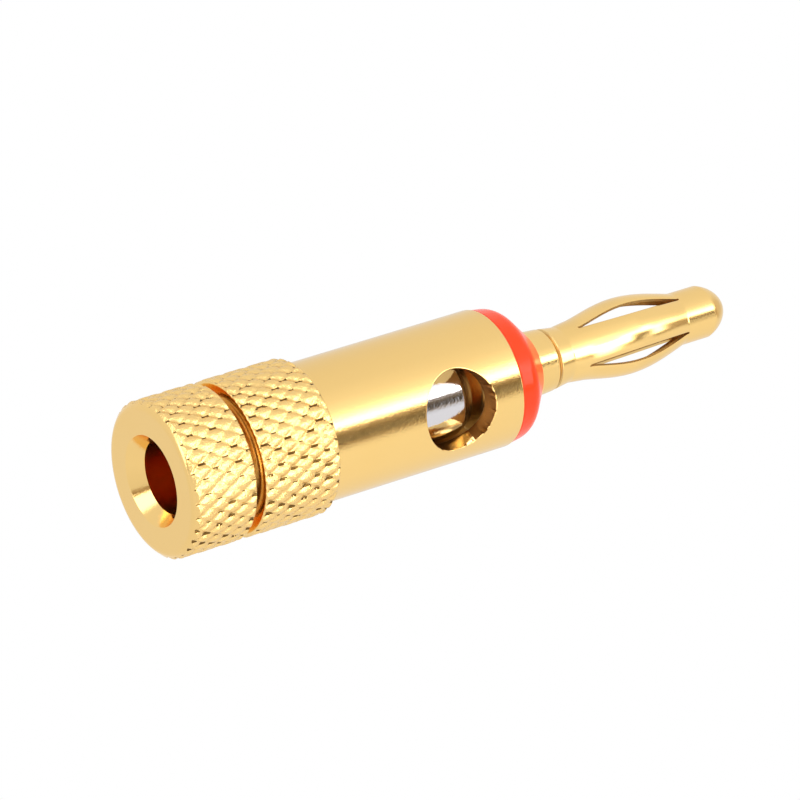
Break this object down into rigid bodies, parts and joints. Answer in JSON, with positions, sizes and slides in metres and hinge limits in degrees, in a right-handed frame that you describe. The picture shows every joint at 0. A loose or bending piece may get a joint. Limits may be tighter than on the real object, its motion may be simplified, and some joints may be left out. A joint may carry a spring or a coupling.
{
  "type": "banana plug",
  "caption": "Gold-plated banana plug with a slotted spring pin, red ring, window barrel and a knurled hollow screw that clamps the cable.",
  "frame": {"origin": "centre of the knob's rear face, which the plug stands on", "axes": "+Z along the plug's axis from the rear face to the tip of the spring pin; the cable windows face -Y and +Y"},
  "size_m": [0.01, 0.01, 0.0435],
  "materials": {
    "gold_plating": "bright gold plating on turned brass",
    "nickel_plating": "bright nickel plating on turned brass",
    "red_plastic": "orange-red moulded plastic, semi-gloss"
  },
  "bodies": {
    "plug_body": {"barrel": "gold_plating", "colour_ring": "red_plastic", "pin_stem": "gold_plating", "spring_pin": "gold_plating"},
    "clamp": {"clamp_tip": "nickel_plating"},
    "knob": {"rear_knob": "gold_plating"}
  },
  "joints": [
    {"name": "clamp_travel", "type": "slide", "parent": "plug_body", "child": "clamp", "axis": [0, 0, 1], "range_m": [-0.00825, 0.00055]},
    {"name": "knob_turn", "type": "hinge", "parent": "clamp", "child": "knob", "pos_m": [0, 0, 0], "axis": [0, 0, 1], "range_deg": [-3975, 270]}
  ],
  "couplings": [
    {"joint": "knob_turn", "follows": "clamp_travel", "rad_per_m": 8377.6}
  ]
}
